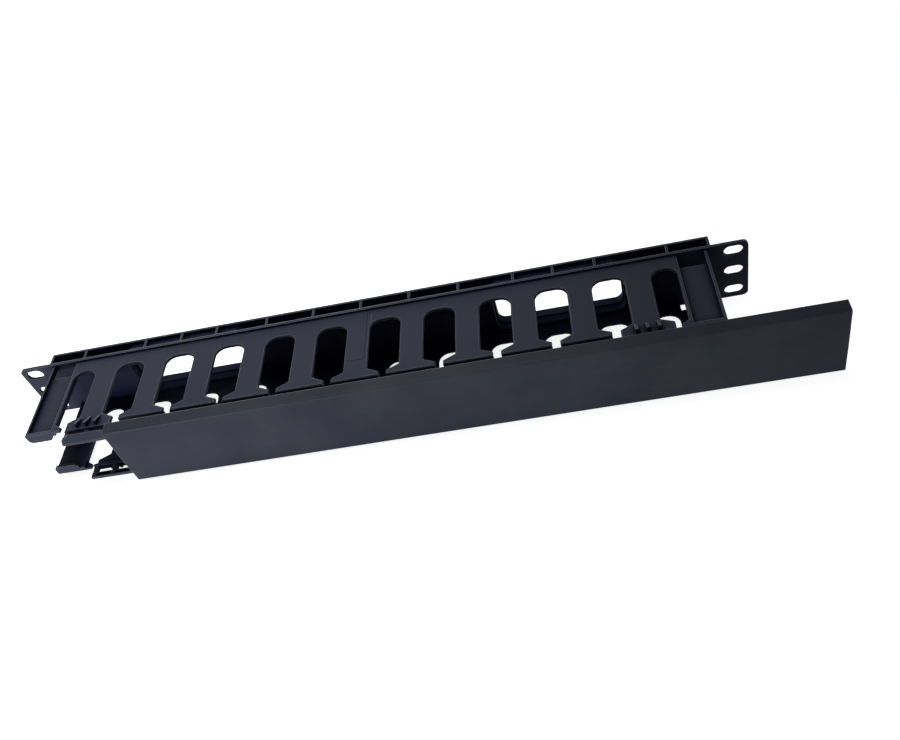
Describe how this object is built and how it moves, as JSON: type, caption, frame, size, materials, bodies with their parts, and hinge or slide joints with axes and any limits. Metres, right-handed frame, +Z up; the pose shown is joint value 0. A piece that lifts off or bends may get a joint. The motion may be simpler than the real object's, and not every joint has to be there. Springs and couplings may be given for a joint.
{
  "type": "horizontal cable manager",
  "caption": "Rack-mounted horizontal cable duct with moulded fingers above and below, cable windows in its back, rack ears and a clip-on front cover slid part way to one side",
  "frame": {"origin": "centre of the ears' rear face, where it meets the rack's front rails, midway between the left and right rack slots", "axes": "X runs along the rack to the right seen from the front, Y goes back into the rack, Z is up"},
  "size_m": [0.5203, 0.0845, 0.0486],
  "materials": {
    "body": "satin moulded black",
    "cover": "satin moulded black"
  },
  "bodies": {
    "body": {"body": "body"},
    "cover": {"cover": "cover"}
  },
  "joints": [
    {"name": "cover_slide", "type": "slide", "parent": "body", "child": "cover", "axis": [1, 0, 0], "range_m": [-0.0605, 0.35]}
  ]
}
